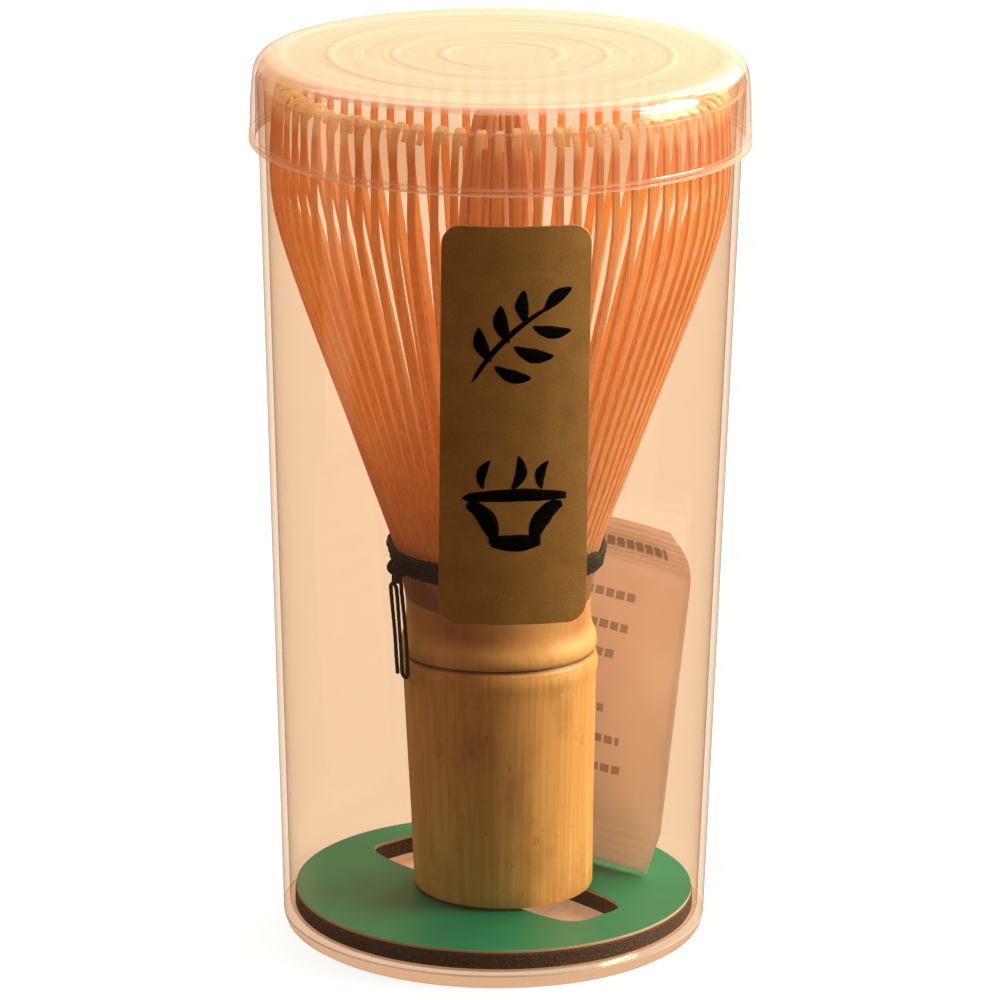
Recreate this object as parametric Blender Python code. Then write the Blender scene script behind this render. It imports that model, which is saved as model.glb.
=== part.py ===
"""Bamboo tea whisk standing in a clear push-lid case, with its base pad, label and desiccant sachet.

The case's floor stands on z = 0 and its axis is +Z. The label faces -Y. Each physical piece is one object.
"""

import math

import bmesh
import bpy
from mathutils import Matrix, Vector

MM = 0.001
GAP = 0.3
FULL_TURN = 2.0 * math.pi

# Clear case, millimetres
TUBE_STEPS = 48
TUBE_TOP_Z = 114.9
TUBE_TOP_RADIUS = 31.55
TUBE_BASE_RADIUS = 28.15
TUBE_BASE_Z = 2.0
TUBE_WALL = 0.85
FOOT_OUTER_RADIUS = 26.6
FOOT_INNER_RADIUS = 24.4
FLOOR_UNDER_Z = 1.3
FLOOR_TOP_Z = 2.3

# Lid
LID_TOP_Z = 118.5
LID_RIM_Z = 107.15
LID_RIM_RADIUS = 32.6
LID_BORE_RADIUS = 31.75
LID_FACE_RADIUS = 29.7
LID_TOP_THICKNESS = 1.0

# Label on the front of the case
LABEL_WIDTH = 19.0
LABEL_LOW_Z = 50.7
LABEL_HIGH_Z = 103.2
LABEL_CORNER = 2.5
LABEL_THICKNESS = 0.25
LABEL_STANDOFF = 0.12
LABEL_STRIPS = 10

# Base pad: a foam disc with a card face, both cut by one slot
FOAM_RADIUS = 26.6
FOAM_LOW_Z = FLOOR_TOP_Z + GAP
FOAM_HIGH_Z = 4.5
CARD_RADIUS = 26.5
CARD_HIGH_Z = 5.2
SLOT_LENGTH = 40.2
SLOT_WIDTH = 12.0
SLOT_CORNER = 1.5
SLOT_CENTRE = (0.28, 1.92)
SLOT_TURN = math.radians(-50.5)

# Desiccant sachet, leaning on the wall behind the whisk
SACHET_FACING = math.radians(46.5)
SACHET_LOW_Z = 5.6
SACHET_HIGH_Z = 50.7
SACHET_FOOT_DISTANCE = 15.1
SACHET_HEAD_DISTANCE = 25.0
SACHET_HALF_WIDTH = 15.7
SACHET_FOOT_HALF_WIDTH = 14.2
SACHET_FILL = 1.7
SACHET_EDGE = 0.25
SACHET_CURL = 0.0096
SACHET_COLUMNS = 10
SACHET_ROWS = 14

# Whisk
WHISK_FOOT_Z = CARD_HIGH_Z + GAP
WHISK_LEAN = 1.25
WHISK_LEAN_HEIGHT = 48.0
HANDLE_STEPS = 40
CULM_BORE_RADIUS = 8.5
SEPTUM_UNDER_Z = 35.5
HANDLE_TOP_Z = 43.0
COMB_LOW_Z = HANDLE_TOP_Z + GAP
COMB_HIGH_Z = 46.0
OUTER_TINES = 70
INNER_TINES = 36

# Thread
TAIL_DIAMETER = 0.56
KNOT_TURN = math.radians(-152.8)
KNOT_DISTANCE = 15.75
KNOT_Z = 51.4
KNOT_HALF_SIZE = (0.9, 1.8, 1.9)

# Outer tines: outer face radius, height, width and thickness up one tine
OUTER_PATH = (
    (12.35, COMB_HIGH_Z, 0.55, 1.50),
    (14.00, 54.0, 0.80, 1.10),
    (20.00, 70.0, 1.00, 0.85),
    (27.40, 91.0, 1.05, 0.65),
    (29.85, 101.5, 1.00, 0.55),
    (29.50, 112.5, 0.95, 0.50),
    (27.35, 115.2, 0.90, 0.45),
    (25.30, 113.4, 0.80, 0.40),
)

# Inner tines, which close into a bundle
INNER_PATH = (
    (9.80, COMB_HIGH_Z, 0.82, 1.30),
    (8.75, 60.0, 0.80, 0.95),
    (7.05, 80.0, 0.70, 0.75),
    (5.20, 99.0, 0.55, 0.60),
    (3.60, 112.2, 0.42, 0.45),
)

HANDLE_PROFILE = (
    (0.0, SEPTUM_UNDER_Z),
    (CULM_BORE_RADIUS, SEPTUM_UNDER_Z),
    (CULM_BORE_RADIUS, WHISK_FOOT_Z),
    (11.50, WHISK_FOOT_Z),
    (11.90, WHISK_FOOT_Z + 0.45),
    (12.15, 16.0),
    (12.60, 29.0),
    (12.80, 35.0),
    (12.95, 36.9),
    (12.70, 37.8),
    (12.30, 38.3),
    (12.70, 38.8),
    (12.85, 39.8),
    (12.45, 41.2),
    (12.15, HANDLE_TOP_Z),
    (0.0, HANDLE_TOP_Z),
)

BAMBOO_SKIN = ((0.62, 0.36, 0.12, 1.0), 0.42)
SPLIT_BAMBOO = ((0.72, 0.33, 0.12, 1.0), 0.5)
INNER_BAMBOO = ((0.52, 0.19, 0.07, 1.0), 0.55)
CLEAR_STYRENE = ((0.90, 0.66, 0.44, 0.32), 0.08)
GOLD_PAPER = ((0.20, 0.12, 0.045, 1.0), 0.45)
BLACK_FOAM = ((0.035, 0.025, 0.02, 1.0), 0.9)
GREEN_CARD = ((0.045, 0.24, 0.11, 1.0), 0.5)
SACHET_PAPER = ((0.62, 0.40, 0.29, 1.0), 0.7)
BLACK_COTTON = ((0.012, 0.010, 0.008, 1.0), 0.85)


def clear_file():
    for old in list(bpy.data.objects):
        bpy.data.objects.remove(old, do_unlink=True)


def collection(name, hidden=False):
    made = bpy.data.collections.new(name)
    bpy.context.scene.collection.children.link(made)
    made.hide_render = hidden
    return made


def material(name, finish):
    colour, roughness = finish
    made = bpy.data.materials.new(name)
    made.use_nodes = True
    shader = made.node_tree.nodes["Principled BSDF"]
    shader.inputs["Base Color"].default_value = colour
    shader.inputs["Alpha"].default_value = colour[3]
    shader.inputs["Roughness"].default_value = roughness
    shader.inputs["Metallic"].default_value = 0.0
    return made


def place(name, bm, finish, group, leaning=False):
    """One finished object from a bmesh in millimetres."""
    bmesh.ops.remove_doubles(bm, verts=bm.verts[:], dist=0.0005)
    bmesh.ops.dissolve_degenerate(bm, edges=bm.edges[:], dist=0.0005)
    bmesh.ops.recalc_face_normals(bm, faces=bm.faces[:])
    if leaning:
        lean(bm)
    bmesh.ops.scale(bm, vec=(MM, MM, MM), verts=bm.verts[:])
    mesh = bpy.data.meshes.new(name)
    bm.to_mesh(mesh)
    bm.free()
    mesh.polygons.foreach_set("use_smooth", [True] * len(mesh.polygons))
    mesh.set_sharp_from_angle(angle=math.radians(35.0))
    mesh.materials.append(material(name + "_finish", finish))
    made = bpy.data.objects.new(name, mesh)
    group.objects.link(made)
    return made


def lean(bm):
    """Shifts each level sideways, so the whisk's foot stands off the case's axis and its tines are on it."""
    for v in bm.verts:
        v.co.x += whisk_shift(v.co.z)


def whisk_shift(z):
    return WHISK_LEAN * max(0.0, 1.0 - (z - WHISK_FOOT_Z) / WHISK_LEAN_HEIGHT)


def turned(points, steps, closed=False):
    """A bmesh turned about Z from (radius, height) points."""
    bm = bmesh.new()
    line = [bm.verts.new((r, 0.0, z)) for r, z in points]
    edges = [bm.edges.new(pair) for pair in zip(line, line[1:])]
    if closed:
        edges.append(bm.edges.new((line[-1], line[0])))
    bmesh.ops.spin(
        bm,
        geom=line + edges,
        cent=(0.0, 0.0, 0.0),
        axis=(0.0, 0.0, 1.0),
        angle=FULL_TURN,
        steps=steps,
        use_merge=True,
    )
    return bm


def tube_outer_radius(z):
    rise = (z - TUBE_BASE_Z) / (TUBE_TOP_Z - TUBE_BASE_Z)
    return TUBE_BASE_RADIUS + rise * (TUBE_TOP_RADIUS - TUBE_BASE_RADIUS)


def case_tube(group):
    points = (
        (0.0, FLOOR_UNDER_Z),
        (FOOT_INNER_RADIUS - 0.6, FLOOR_UNDER_Z),
        (FOOT_INNER_RADIUS - 0.2, FLOOR_UNDER_Z - 0.5),
        (FOOT_INNER_RADIUS, 0.0),
        (FOOT_OUTER_RADIUS, 0.0),
        (FOOT_OUTER_RADIUS + 0.75, 0.35),
        (TUBE_BASE_RADIUS - 0.3, 1.0),
        (TUBE_BASE_RADIUS, TUBE_BASE_Z),
        (TUBE_TOP_RADIUS, TUBE_TOP_Z),
        (TUBE_TOP_RADIUS - TUBE_WALL, TUBE_TOP_Z),
        (TUBE_BASE_RADIUS - TUBE_WALL + 0.03, 3.0),
        (TUBE_BASE_RADIUS - TUBE_WALL - 0.3, FLOOR_TOP_Z),
        (0.0, FLOOR_TOP_Z),
    )
    place("case_tube", turned(points, TUBE_STEPS), CLEAR_STYRENE, group)


def case_lid(group):
    under = LID_TOP_Z - LID_TOP_THICKNESS
    points = (
        (0.0, LID_TOP_Z),
        (LID_FACE_RADIUS, LID_TOP_Z),
        (30.7, 118.28),
        (31.6, 117.55),
        (32.15, 116.3),
        (32.4, 114.0),
        (LID_RIM_RADIUS, LID_RIM_Z + 0.3),
        (LID_RIM_RADIUS - 0.1, LID_RIM_Z),
        (LID_BORE_RADIUS, LID_RIM_Z),
        (LID_BORE_RADIUS, TUBE_TOP_Z + GAP),
        (31.2, 116.6),
        (30.3, under - 0.15),
        (29.2, under),
        (0.0, under),
    )
    place("case_lid", turned(points, TUBE_STEPS), CLEAR_STYRENE, group)


def sliced_block(half_x, half_z, columns, rows, corner=0.0):
    """A thin block, y from -1 to 1, cut into columns and rows so that it can be bent."""
    bm = bmesh.new()
    bmesh.ops.create_cube(bm, size=2.0)
    bmesh.ops.scale(bm, vec=(half_x, 1.0, half_z), verts=bm.verts[:])
    if corner:
        upright = [e for e in bm.edges if abs(e.verts[0].co.y - e.verts[1].co.y) > 1.0]
        bmesh.ops.bevel(
            bm,
            geom=upright,
            offset=corner,
            offset_type="OFFSET",
            segments=4,
            profile=0.5,
            affect="EDGES",
            material=-1,
        )
    for i in range(1, columns):
        slice_at(bm, (-half_x + 2.0 * half_x * i / columns, 0.0, 0.0), (1.0, 0.0, 0.0))
    for i in range(1, rows):
        slice_at(bm, (0.0, 0.0, -half_z + 2.0 * half_z * i / rows), (0.0, 0.0, 1.0))
    return bm


def slice_at(bm, point, normal):
    everything = bm.verts[:] + bm.edges[:] + bm.faces[:]
    bmesh.ops.bisect_plane(bm, geom=everything, dist=0.0001, plane_co=point, plane_no=normal)


def front_label(group):
    half_height = 0.5 * (LABEL_HIGH_Z - LABEL_LOW_Z)
    middle = 0.5 * (LABEL_HIGH_Z + LABEL_LOW_Z)
    bm = sliced_block(0.5 * LABEL_WIDTH, half_height, LABEL_STRIPS, 1, LABEL_CORNER)
    for v in bm.verts:
        z = v.co.z + middle
        face = LABEL_STANDOFF + (LABEL_THICKNESS if v.co.y < 0.0 else 0.0)
        turn = v.co.x / tube_outer_radius(z)
        radius = tube_outer_radius(z) + face
        v.co = Vector((radius * math.sin(turn), -radius * math.cos(turn), z))
    place("front_label", bm, GOLD_PAPER, group)


def slot_cutter(cutters):
    """The slot that goes through foam and card, as a block with rounded ends."""
    bm = bmesh.new()
    bmesh.ops.create_cube(bm, size=1.0)
    bmesh.ops.scale(bm, vec=(SLOT_LENGTH, SLOT_WIDTH, 12.0), verts=bm.verts[:])
    upright = [e for e in bm.edges if abs(e.verts[0].co.z - e.verts[1].co.z) > 1.0]
    bmesh.ops.bevel(
        bm,
        geom=upright,
        offset=SLOT_CORNER,
        offset_type="OFFSET",
        segments=3,
        profile=0.5,
        affect="EDGES",
        material=-1,
    )
    bmesh.ops.rotate(bm, matrix=Matrix.Rotation(SLOT_TURN, 3, "Z"), verts=bm.verts[:])
    bmesh.ops.translate(bm, vec=(SLOT_CENTRE[0], SLOT_CENTRE[1], 4.0), verts=bm.verts[:])
    cutter = place("slot_cutter", bm, GREEN_CARD, cutters)
    cutter.display_type = "WIRE"
    return cutter


def slotted_disc(name, radius, low, high, finish, group, cutter):
    bm = bmesh.new()
    bmesh.ops.create_cone(
        bm,
        cap_ends=True,
        segments=TUBE_STEPS,
        radius1=radius,
        radius2=radius,
        depth=high - low,
    )
    bmesh.ops.translate(bm, vec=(0.0, 0.0, 0.5 * (high + low)), verts=bm.verts[:])
    disc = place(name, bm, finish, group)
    cut = disc.modifiers.new("slot", "BOOLEAN")
    cut.operation = "DIFFERENCE"
    cut.solver = "EXACT"
    cut.object = cutter


def sachet(group):
    """A flat crimped packet, swollen in its middle, whose head follows the round wall."""
    bm = sliced_block(1.0, 0.5, SACHET_COLUMNS, SACHET_ROWS)
    outward = Vector((math.cos(SACHET_FACING), math.sin(SACHET_FACING), 0.0))
    along = Vector((math.sin(SACHET_FACING), -math.cos(SACHET_FACING), 0.0))
    for v in bm.verts:
        across, up, side = v.co.x, v.co.z + 0.5, -v.co.y
        widening = min(up / 0.13, 1.0)
        half_width = SACHET_FOOT_HALF_WIDTH + widening * (SACHET_HALF_WIDTH - SACHET_FOOT_HALF_WIDTH)
        rounding = 1.0 - 0.3 * max(0.0, (up - 0.82) / 0.18) ** 2
        t = across * half_width * rounding
        belly = max(0.0, math.sin(math.pi * (up - 0.12) / 0.76)) if 0.12 < up < 0.88 else 0.0
        swell = SACHET_EDGE + SACHET_FILL * belly**0.7 * (1.0 - across * across) ** 0.7
        reach = SACHET_HEAD_DISTANCE - SACHET_FOOT_DISTANCE
        distance = SACHET_FOOT_DISTANCE + reach * up - SACHET_CURL * up * t * t
        z = SACHET_LOW_Z + (SACHET_HIGH_Z - SACHET_LOW_Z) * up
        v.co = outward * (distance + side * swell) + along * t + Vector((0.0, 0.0, z))
    place("desiccant_sachet", bm, SACHET_PAPER, group)


def whisk_handle(group):
    bm = turned(HANDLE_PROFILE, HANDLE_STEPS)
    place("whisk_handle", bm, BAMBOO_SKIN, group, leaning=True)


def tine_frames(path):
    """Centre, outward normal, width and thickness at each height of a tine, in its own radial plane."""
    frames = []
    for i, (radius, z, width, thickness) in enumerate(path):
        before = path[max(i - 1, 0)]
        after = path[min(i + 1, len(path) - 1)]
        run = Vector((after[0] - before[0], after[1] - before[1])).normalized()
        normal = Vector((run[1], -run[0])) if i else Vector((1.0, 0.0))
        centre = Vector((radius, z)) - normal * (0.5 * thickness)
        frames.append((centre, normal, width, thickness))
    return frames


def comb(name, count, path, finish, group):
    """A ring with tines drawn up from every second face of its top."""
    frames = tine_frames(path)
    centre, _, _, thickness = frames[0]
    inner, outer = centre[0] - 0.5 * thickness, centre[0] + 0.5 * thickness
    section = ((inner, COMB_LOW_Z), (outer, COMB_LOW_Z), (outer, COMB_HIGH_Z), (inner, COMB_HIGH_Z))
    bm = turned(section, 2 * count, closed=True)
    bmesh.ops.remove_doubles(bm, verts=bm.verts[:], dist=0.0005)
    bmesh.ops.recalc_face_normals(bm, faces=bm.faces[:])
    top = [f for f in bm.faces if f.calc_center_median().z > COMB_HIGH_Z - 0.01]
    top.sort(key=lambda f: heading(f.calc_center_median()))
    tips = top[::2]
    for i in range(1, len(frames)):
        tips = draw_up(bm, tips, frames[i - 1], frames[i])
    place(name, bm, finish, group, leaning=True)


def heading(point):
    return math.atan2(point.y, point.x) % FULL_TURN


def draw_up(bm, tips, old, new):
    """Extrudes every tip and sets its corners to the next section of the tine."""
    grown = bmesh.ops.extrude_face_region(bm, geom=tips)["geom"]
    faces = [g for g in grown if isinstance(g, bmesh.types.BMFace)]
    bmesh.ops.delete(bm, geom=[tip for tip in tips if tip.is_valid], context="FACES_ONLY")
    for face in faces:
        turn = heading(face.calc_center_median())
        radial = Vector((math.cos(turn), math.sin(turn), 0.0))
        aside = Vector((-math.sin(turn), math.cos(turn), 0.0))
        up = Vector((0.0, 0.0, 1.0))
        for v in face.verts:
            offset = v.co - radial * old[0][0] - up * old[0][1]
            depth = offset.dot(radial) * old[1][0] + offset.z * old[1][1]
            out = 0.5 * new[3] if depth > 0.0 else -0.5 * new[3]
            over = 0.5 * new[2] if offset.dot(aside) > 0.0 else -0.5 * new[2]
            radius = new[0][0] + new[1][0] * out
            height = new[0][1] + new[1][1] * out
            v.co = radial * radius + aside * over + up * height
    return faces


def thread_winding(group):
    """Three turns of thread lying together round the foot of the tines."""
    points = (
        (13.5, 50.2),
        (13.95, 50.1),
        (14.2, 50.55),
        (14.05, 51.05),
        (14.4, 51.55),
        (14.25, 52.05),
        (14.65, 52.55),
        (14.6, 53.05),
        (14.2, 53.2),
    )
    bm = turned(points, TUBE_STEPS, closed=True)
    place("thread_winding", bm, BLACK_COTTON, group, leaning=True)


def beside_knot(away, aside, z):
    """A point given outwards from the whisk's axis and sideways along the winding, at the knot."""
    radial = Vector((math.cos(KNOT_TURN), math.sin(KNOT_TURN), 0.0))
    tangent = Vector((-math.sin(KNOT_TURN), math.cos(KNOT_TURN), 0.0))
    return radial * away + tangent * aside + Vector((0.0, 0.0, z))


def thread_knot(group):
    bm = bmesh.new()
    bmesh.ops.create_uvsphere(bm, u_segments=12, v_segments=8, radius=1.0)
    bmesh.ops.scale(bm, vec=KNOT_HALF_SIZE, verts=bm.verts[:])
    bmesh.ops.rotate(bm, matrix=Matrix.Rotation(KNOT_TURN, 3, "Z"), verts=bm.verts[:])
    bmesh.ops.translate(bm, vec=beside_knot(KNOT_DISTANCE, 0.0, KNOT_Z), verts=bm.verts[:])
    place("thread_knot", bm, BLACK_COTTON, group, leaning=True)


def tail_route():
    """The loose end: down, back up in a loop and down again, as (away, aside, height)."""
    low, high = 37.1, 48.4
    route = [(15.6, 1.5, 49.05), (15.5, 1.65, 47.0), (15.3, 1.8, 43.5), (15.1, 1.75, 40.0)]
    route += [(15.0, 1.6, 38.2)]
    for step in range(5):
        turn = math.pi * step / 4.0
        route.append((14.95, 0.8 + 0.75 * math.cos(turn), low + 0.3 - 0.75 * math.sin(turn)))
    route += [(15.0, 0.05, 39.5), (15.2, 0.1, 43.0), (15.35, 0.05, 46.6)]
    for step in range(5):
        turn = math.pi * step / 4.0
        route.append((15.45, -0.75 + 0.75 * math.cos(turn), high + 0.75 * math.sin(turn)))
    route += [(15.3, -1.45, 45.8), (15.1, -1.3, 42.0), (14.95, -1.35, 39.0), (14.85, -1.25, 36.6)]
    return route


def thread_tail(group):
    curve = bpy.data.curves.new("tail_line", "CURVE")
    curve.dimensions = "3D"
    curve.bevel_depth = 0.5 * TAIL_DIAMETER
    curve.bevel_resolution = 1
    curve.use_fill_caps = True
    route = [beside_knot(*point) for point in tail_route()]
    spline = curve.splines.new("POLY")
    spline.points.add(len(route) - 1)
    for point, co in zip(spline.points, route):
        point.co = (co.x, co.y, co.z, 1.0)
    line = bpy.data.objects.new("tail_line", curve)
    group.objects.link(line)
    depsgraph = bpy.context.evaluated_depsgraph_get()
    tube = bpy.data.meshes.new_from_object(line.evaluated_get(depsgraph))
    bpy.data.objects.remove(line, do_unlink=True)
    bm = bmesh.new()
    bm.from_mesh(tube)
    place("thread_tail", bm, BLACK_COTTON, group, leaning=True)


def main():
    clear_file()
    parts = collection("cased_tea_whisk")
    cutters = collection("cutters", hidden=True)
    case_tube(parts)
    case_lid(parts)
    front_label(parts)
    cutter = slot_cutter(cutters)
    slotted_disc("base_foam_disc", FOAM_RADIUS, FOAM_LOW_Z, FOAM_HIGH_Z, BLACK_FOAM, parts, cutter)
    slotted_disc(
        "base_card_face", CARD_RADIUS, FOAM_HIGH_Z + GAP, CARD_HIGH_Z, GREEN_CARD, parts, cutter
    )
    sachet(parts)
    whisk_handle(parts)
    comb("outer_tines", OUTER_TINES, OUTER_PATH, SPLIT_BAMBOO, parts)
    comb("inner_tines", INNER_TINES, INNER_PATH, INNER_BAMBOO, parts)
    thread_winding(parts)
    thread_knot(parts)
    thread_tail(parts)


main()
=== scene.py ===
"""A bamboo tea whisk in its clear round case, with pad, label and desiccant sachet."""
import math
import random

import bmesh
import bpy
from mathutils import Matrix, Vector, noise

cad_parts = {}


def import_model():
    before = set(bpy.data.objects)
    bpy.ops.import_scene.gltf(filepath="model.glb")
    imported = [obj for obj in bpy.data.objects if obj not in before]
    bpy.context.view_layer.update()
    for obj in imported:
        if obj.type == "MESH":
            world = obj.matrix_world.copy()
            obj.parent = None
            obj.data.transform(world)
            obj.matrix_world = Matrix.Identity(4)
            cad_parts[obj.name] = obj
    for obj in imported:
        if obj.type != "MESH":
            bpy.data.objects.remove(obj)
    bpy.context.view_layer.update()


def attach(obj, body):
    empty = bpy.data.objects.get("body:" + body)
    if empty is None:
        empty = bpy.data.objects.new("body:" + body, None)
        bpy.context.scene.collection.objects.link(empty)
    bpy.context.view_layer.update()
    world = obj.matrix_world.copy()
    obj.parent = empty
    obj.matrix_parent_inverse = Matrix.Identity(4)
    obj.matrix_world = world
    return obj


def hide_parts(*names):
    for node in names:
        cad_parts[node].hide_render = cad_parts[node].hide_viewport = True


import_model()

MM = 0.001
TURN = 2.0 * math.pi

# The whisk's foot stands a little to the right of the case's axis; millimetres
WHISK_FOOT_Z = 5.5
WHISK_LEAN = 1.25
WHISK_LEAN_HEIGHT = 48.0

# Case, from the CAD
TUBE_LOW = (28.15, 2.0)
TUBE_HIGH = (31.55, 114.9)
TUBE_WALL = 0.85

# The slot cut through foam and card
SLOT_LENGTH = 40.2
SLOT_WIDTH = 12.0
SLOT_CENTRE = (0.28, 1.92)
SLOT_TURN = math.radians(-50.5)

# How far the view is turned to the label's left, in degrees; the lights turn with it
VIEW_TURN = 4.1

# Knot and hanging thread; the lay of the plies is in metres
THREAD_DIAMETER = 0.8
TAIL_DIAMETER = 0.56
THREAD_LAY = 0.0032
KNOT_TURN = math.radians(-152.8)
KNOT_DISTANCE = 15.75
KNOT_Z = 51.4


# ---------------------------------------------------------------- camera and thread end, made first


def lean(point):
    """Where a point of an upright whisk goes when its foot stands off the case's axis."""
    shift = WHISK_LEAN * max(0.0, 1.0 - (point.z - WHISK_FOOT_Z) / WHISK_LEAN_HEIGHT)
    return Vector((point.x + shift, point.y, point.z))


def camera():
    """A long lens in front, a little above the lid, turned four degrees to the label's left."""
    data = bpy.data.cameras.new("camera")
    data.sensor_width = 36.0
    data.lens = 217.9
    data.clip_start = 0.02
    data.clip_end = 20.0
    made = bpy.data.objects.new("camera", data)
    bpy.context.scene.collection.objects.link(made)
    aside = Matrix.Rotation(math.radians(-VIEW_TURN), 3, "Z")
    made.location = aside @ Vector((0.00036, -0.76592, 0.28087))
    pitch = Matrix.Rotation(math.pi / 2.0 - 0.28249, 3, "X")
    roll = Matrix.Rotation(0.0091, 3, "Z")
    made.rotation_euler = (aside @ pitch @ roll).to_euler()
    bpy.context.scene.camera = made
    return made


def beside_knot(away, around, z):
    """A point given outwards from the whisk's axis and sideways along the winding, at the knot."""
    radial = Vector((math.cos(KNOT_TURN), math.sin(KNOT_TURN), 0.0))
    tangent = Vector((-math.sin(KNOT_TURN), math.cos(KNOT_TURN), 0.0))
    return radial * away + tangent * around + Vector((0.0, 0.0, z))


def tail_route():
    """The loose end: down, back up in a loop and down again, as (away, aside, height)."""
    low, high = 37.1, 48.4
    route = [(15.6, 1.5, 49.05), (15.5, 1.65, 47.0), (15.3, 1.8, 43.5), (15.1, 1.75, 40.0)]
    route += [(15.0, 1.6, 38.2)]
    for step in range(5):
        turn = math.pi * step / 4.0
        route.append((14.95, 0.8 + 0.75 * math.cos(turn), low + 0.3 - 0.75 * math.sin(turn)))
    route += [(15.0, 0.05, 39.5), (15.2, 0.1, 43.0), (15.35, 0.05, 46.6)]
    for step in range(5):
        turn = math.pi * step / 4.0
        route.append((15.45, -0.75 + 0.75 * math.cos(turn), high + 0.75 * math.sin(turn)))
    route += [(15.3, -1.45, 45.8), (15.1, -1.3, 42.0), (14.95, -1.35, 39.0), (14.85, -1.25, 36.6)]
    return [lean(beside_knot(*point)) * MM for point in route]


def strand_section(name, radius):
    """The outline of a thread laid up from three plies, as a closed curve for bevelling."""
    data = bpy.data.curves.new(name, "CURVE")
    data.dimensions = "2D"
    outline = data.splines.new("POLY")
    count = 18
    outline.points.add(count - 1)
    for i, point in enumerate(outline.points):
        turn = TURN * i / count
        reach = radius * (0.95 + 0.05 * math.cos(3.0 * turn))
        point.co = (reach * math.cos(turn), reach * math.sin(turn), 0.0, 1.0)
    outline.use_cyclic_u = True
    made = bpy.data.objects.new(name, data)
    bpy.context.scene.collection.objects.link(made)
    made.hide_render = True
    made.hide_viewport = True
    return made


def thread_line(name, route, section, lay):
    """A thread along a route in metres, as a mesh, whose plies make one turn every lay metres."""
    data = bpy.data.curves.new(name, "CURVE")
    data.dimensions = "3D"
    data.twist_mode = "MINIMUM"
    data.bevel_mode = "OBJECT"
    data.bevel_object = section
    data.use_fill_caps = True
    line = data.splines.new("POLY")
    line.points.add(len(route) - 1)
    run = 0.0
    for i, co in enumerate(route):
        if i:
            run += (co - route[i - 1]).length
        line.points[i].co = (co.x, co.y, co.z, 1.0)
        line.points[i].tilt = TURN * run / lay
    curve = bpy.data.objects.new(name + "_line", data)
    bpy.context.scene.collection.objects.link(curve)
    depsgraph = bpy.context.evaluated_depsgraph_get()
    mesh = bpy.data.meshes.new_from_object(curve.evaluated_get(depsgraph))
    bpy.data.objects.remove(curve, do_unlink=True)
    bpy.data.curves.remove(data)
    bm = bmesh.new()
    bm.from_mesh(mesh)
    bmesh.ops.remove_doubles(bm, verts=bm.verts[:], dist=0.000001)
    bmesh.ops.recalc_face_normals(bm, faces=bm.faces[:])
    bm.to_mesh(mesh)
    bm.free()
    mesh.name = name
    mesh.materials.clear()
    mesh.polygons.foreach_set("use_smooth", [True] * len(mesh.polygons))
    made = bpy.data.objects.new(name, mesh)
    bpy.context.scene.collection.objects.link(made)
    return made, run


def smooth_route(points, per_span):
    """Points along a smooth curve through the given ones."""
    ends = [points[0] * 2.0 - points[1]] + points + [points[-1] * 2.0 - points[-2]]
    route = []
    for i in range(1, len(ends) - 2):
        before, here, there, after = ends[i - 1], ends[i], ends[i + 1], ends[i + 2]
        for step in range(per_span):
            t = step / per_span
            pull = (
                (here * 2.0)
                + (there - before) * t
                + (before * 2.0 - here * 5.0 + there * 4.0 - after) * t * t
                + (here * 3.0 - before - there * 3.0 + after) * t * t * t
            )
            route.append(pull * 0.5)
    route.append(points[-1])
    return route


camera()
STRAND = strand_section("thread_section", 0.5 * THREAD_DIAMETER * MM)
KNOT_STRAND = strand_section("knot_thread_section", 0.62 * THREAD_DIAMETER * MM)
THIN_STRAND = strand_section("thin_thread_section", 0.5 * TAIL_DIAMETER * MM)
tail_points = smooth_route(tail_route(), 8)
thread_end, tail_length = thread_line("thread_end_loops", tail_points, THIN_STRAND, THREAD_LAY)
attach(thread_end, "whisk")
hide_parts("thread_tail")


# ---------------------------------------------------------------- shader helpers


def srgb(code):
    """A linear colour from an sRGB hex code."""
    channels = [int(code[i : i + 2], 16) / 255.0 for i in (0, 2, 4)]
    linear = [c / 12.92 if c <= 0.04045 else ((c + 0.055) / 1.055) ** 2.4 for c in channels]
    return (*linear, 1.0)


def add(tree, kind, inputs=None, **settings):
    """One shader node: settings go on the node, and each input is a value or another node's output."""
    made = tree.nodes.new(kind)
    for key, value in settings.items():
        setattr(made, key, value)
    for key, value in (inputs or {}).items():
        if isinstance(value, bpy.types.NodeSocket):
            tree.links.new(value, made.inputs[key])
        else:
            made.inputs[key].default_value = value
    return made


def blank(name):
    """A material with only its output node."""
    made = bpy.data.materials.new(name)
    made.use_nodes = True
    made.node_tree.nodes.clear()
    return made, made.node_tree


def surface(tree, shader):
    """Joins a shader to the material output."""
    out = add(tree, "ShaderNodeOutputMaterial")
    tree.links.new(shader, out.inputs["Surface"])


def ramp(tree, fac, *stops):
    """A colour ramp from (position, colour) stops."""
    made = add(tree, "ShaderNodeValToRGB", {"Fac": fac})
    elements = made.color_ramp.elements
    while len(elements) < len(stops):
        elements.new(1.0)
    for element, (position, colour) in zip(elements, stops):
        element.position = position
        element.color = colour
    return made.outputs["Color"]


def grey(value):
    """A linear grey."""
    return (value, value, value, 1.0)


def mix(tree, fac, a, b):
    """Two colours mixed."""
    made = add(tree, "ShaderNodeMix", data_type="RGBA", blend_type="MIX")
    for socket, value in ((made.inputs[0], fac), (made.inputs[6], a), (made.inputs[7], b)):
        if isinstance(value, bpy.types.NodeSocket):
            tree.links.new(value, socket)
        else:
            socket.default_value = value
    return made.outputs[2]


def maths(tree, operation, a, b=0.0, c=0.0):
    """One arithmetic step between values or outputs."""
    made = add(tree, "ShaderNodeMath", {0: a, 1: b, 2: c}, operation=operation)
    return made.outputs[0]


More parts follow.
